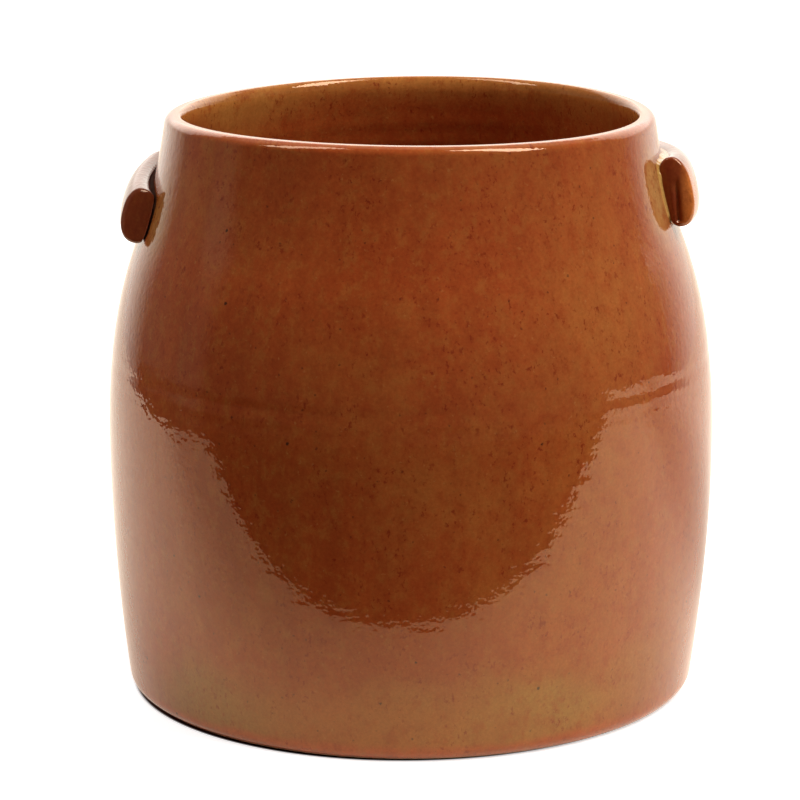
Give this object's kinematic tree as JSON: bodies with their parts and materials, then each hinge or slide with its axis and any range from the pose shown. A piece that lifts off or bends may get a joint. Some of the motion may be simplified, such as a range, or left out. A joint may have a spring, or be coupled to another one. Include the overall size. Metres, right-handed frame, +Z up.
{
  "type": "stoneware cachepot",
  "caption": "Barrel-shaped glazed stoneware cachepot with a wide open mouth, a soft rounded rim and solid lug handles luted on the shoulder.",
  "frame": {"origin": "middle of the foot, on the ground", "axes": "+Z up out of the mouth; the lugs are on the -X and +X sides; the front is -Y"},
  "size_m": [0.36, 0.36, 0.344],
  "materials": {
    "wall_glaze": "glossy chestnut glaze with dark iron specks",
    "inside_glaze": "glossy chestnut glaze",
    "lug_glaze": "glossy chestnut glaze, pooled darker at the joints",
    "floor_clay": "glazed edge over a bare, matt fired underside",
    "joint_slip": "fired slip under glaze"
  },
  "bodies": {
    "root": {"floor_slab": "floor_clay", "floor_slip": "joint_slip", "floor_coil": "inside_glaze", "lower_wall": "wall_glaze", "seam_slip": "joint_slip", "upper_wall": "wall_glaze", "lug_left": "lug_glaze", "lug_right": "lug_glaze", "lug_left_slip": "joint_slip", "lug_right_slip": "joint_slip"}
  },
  "joints": []
}
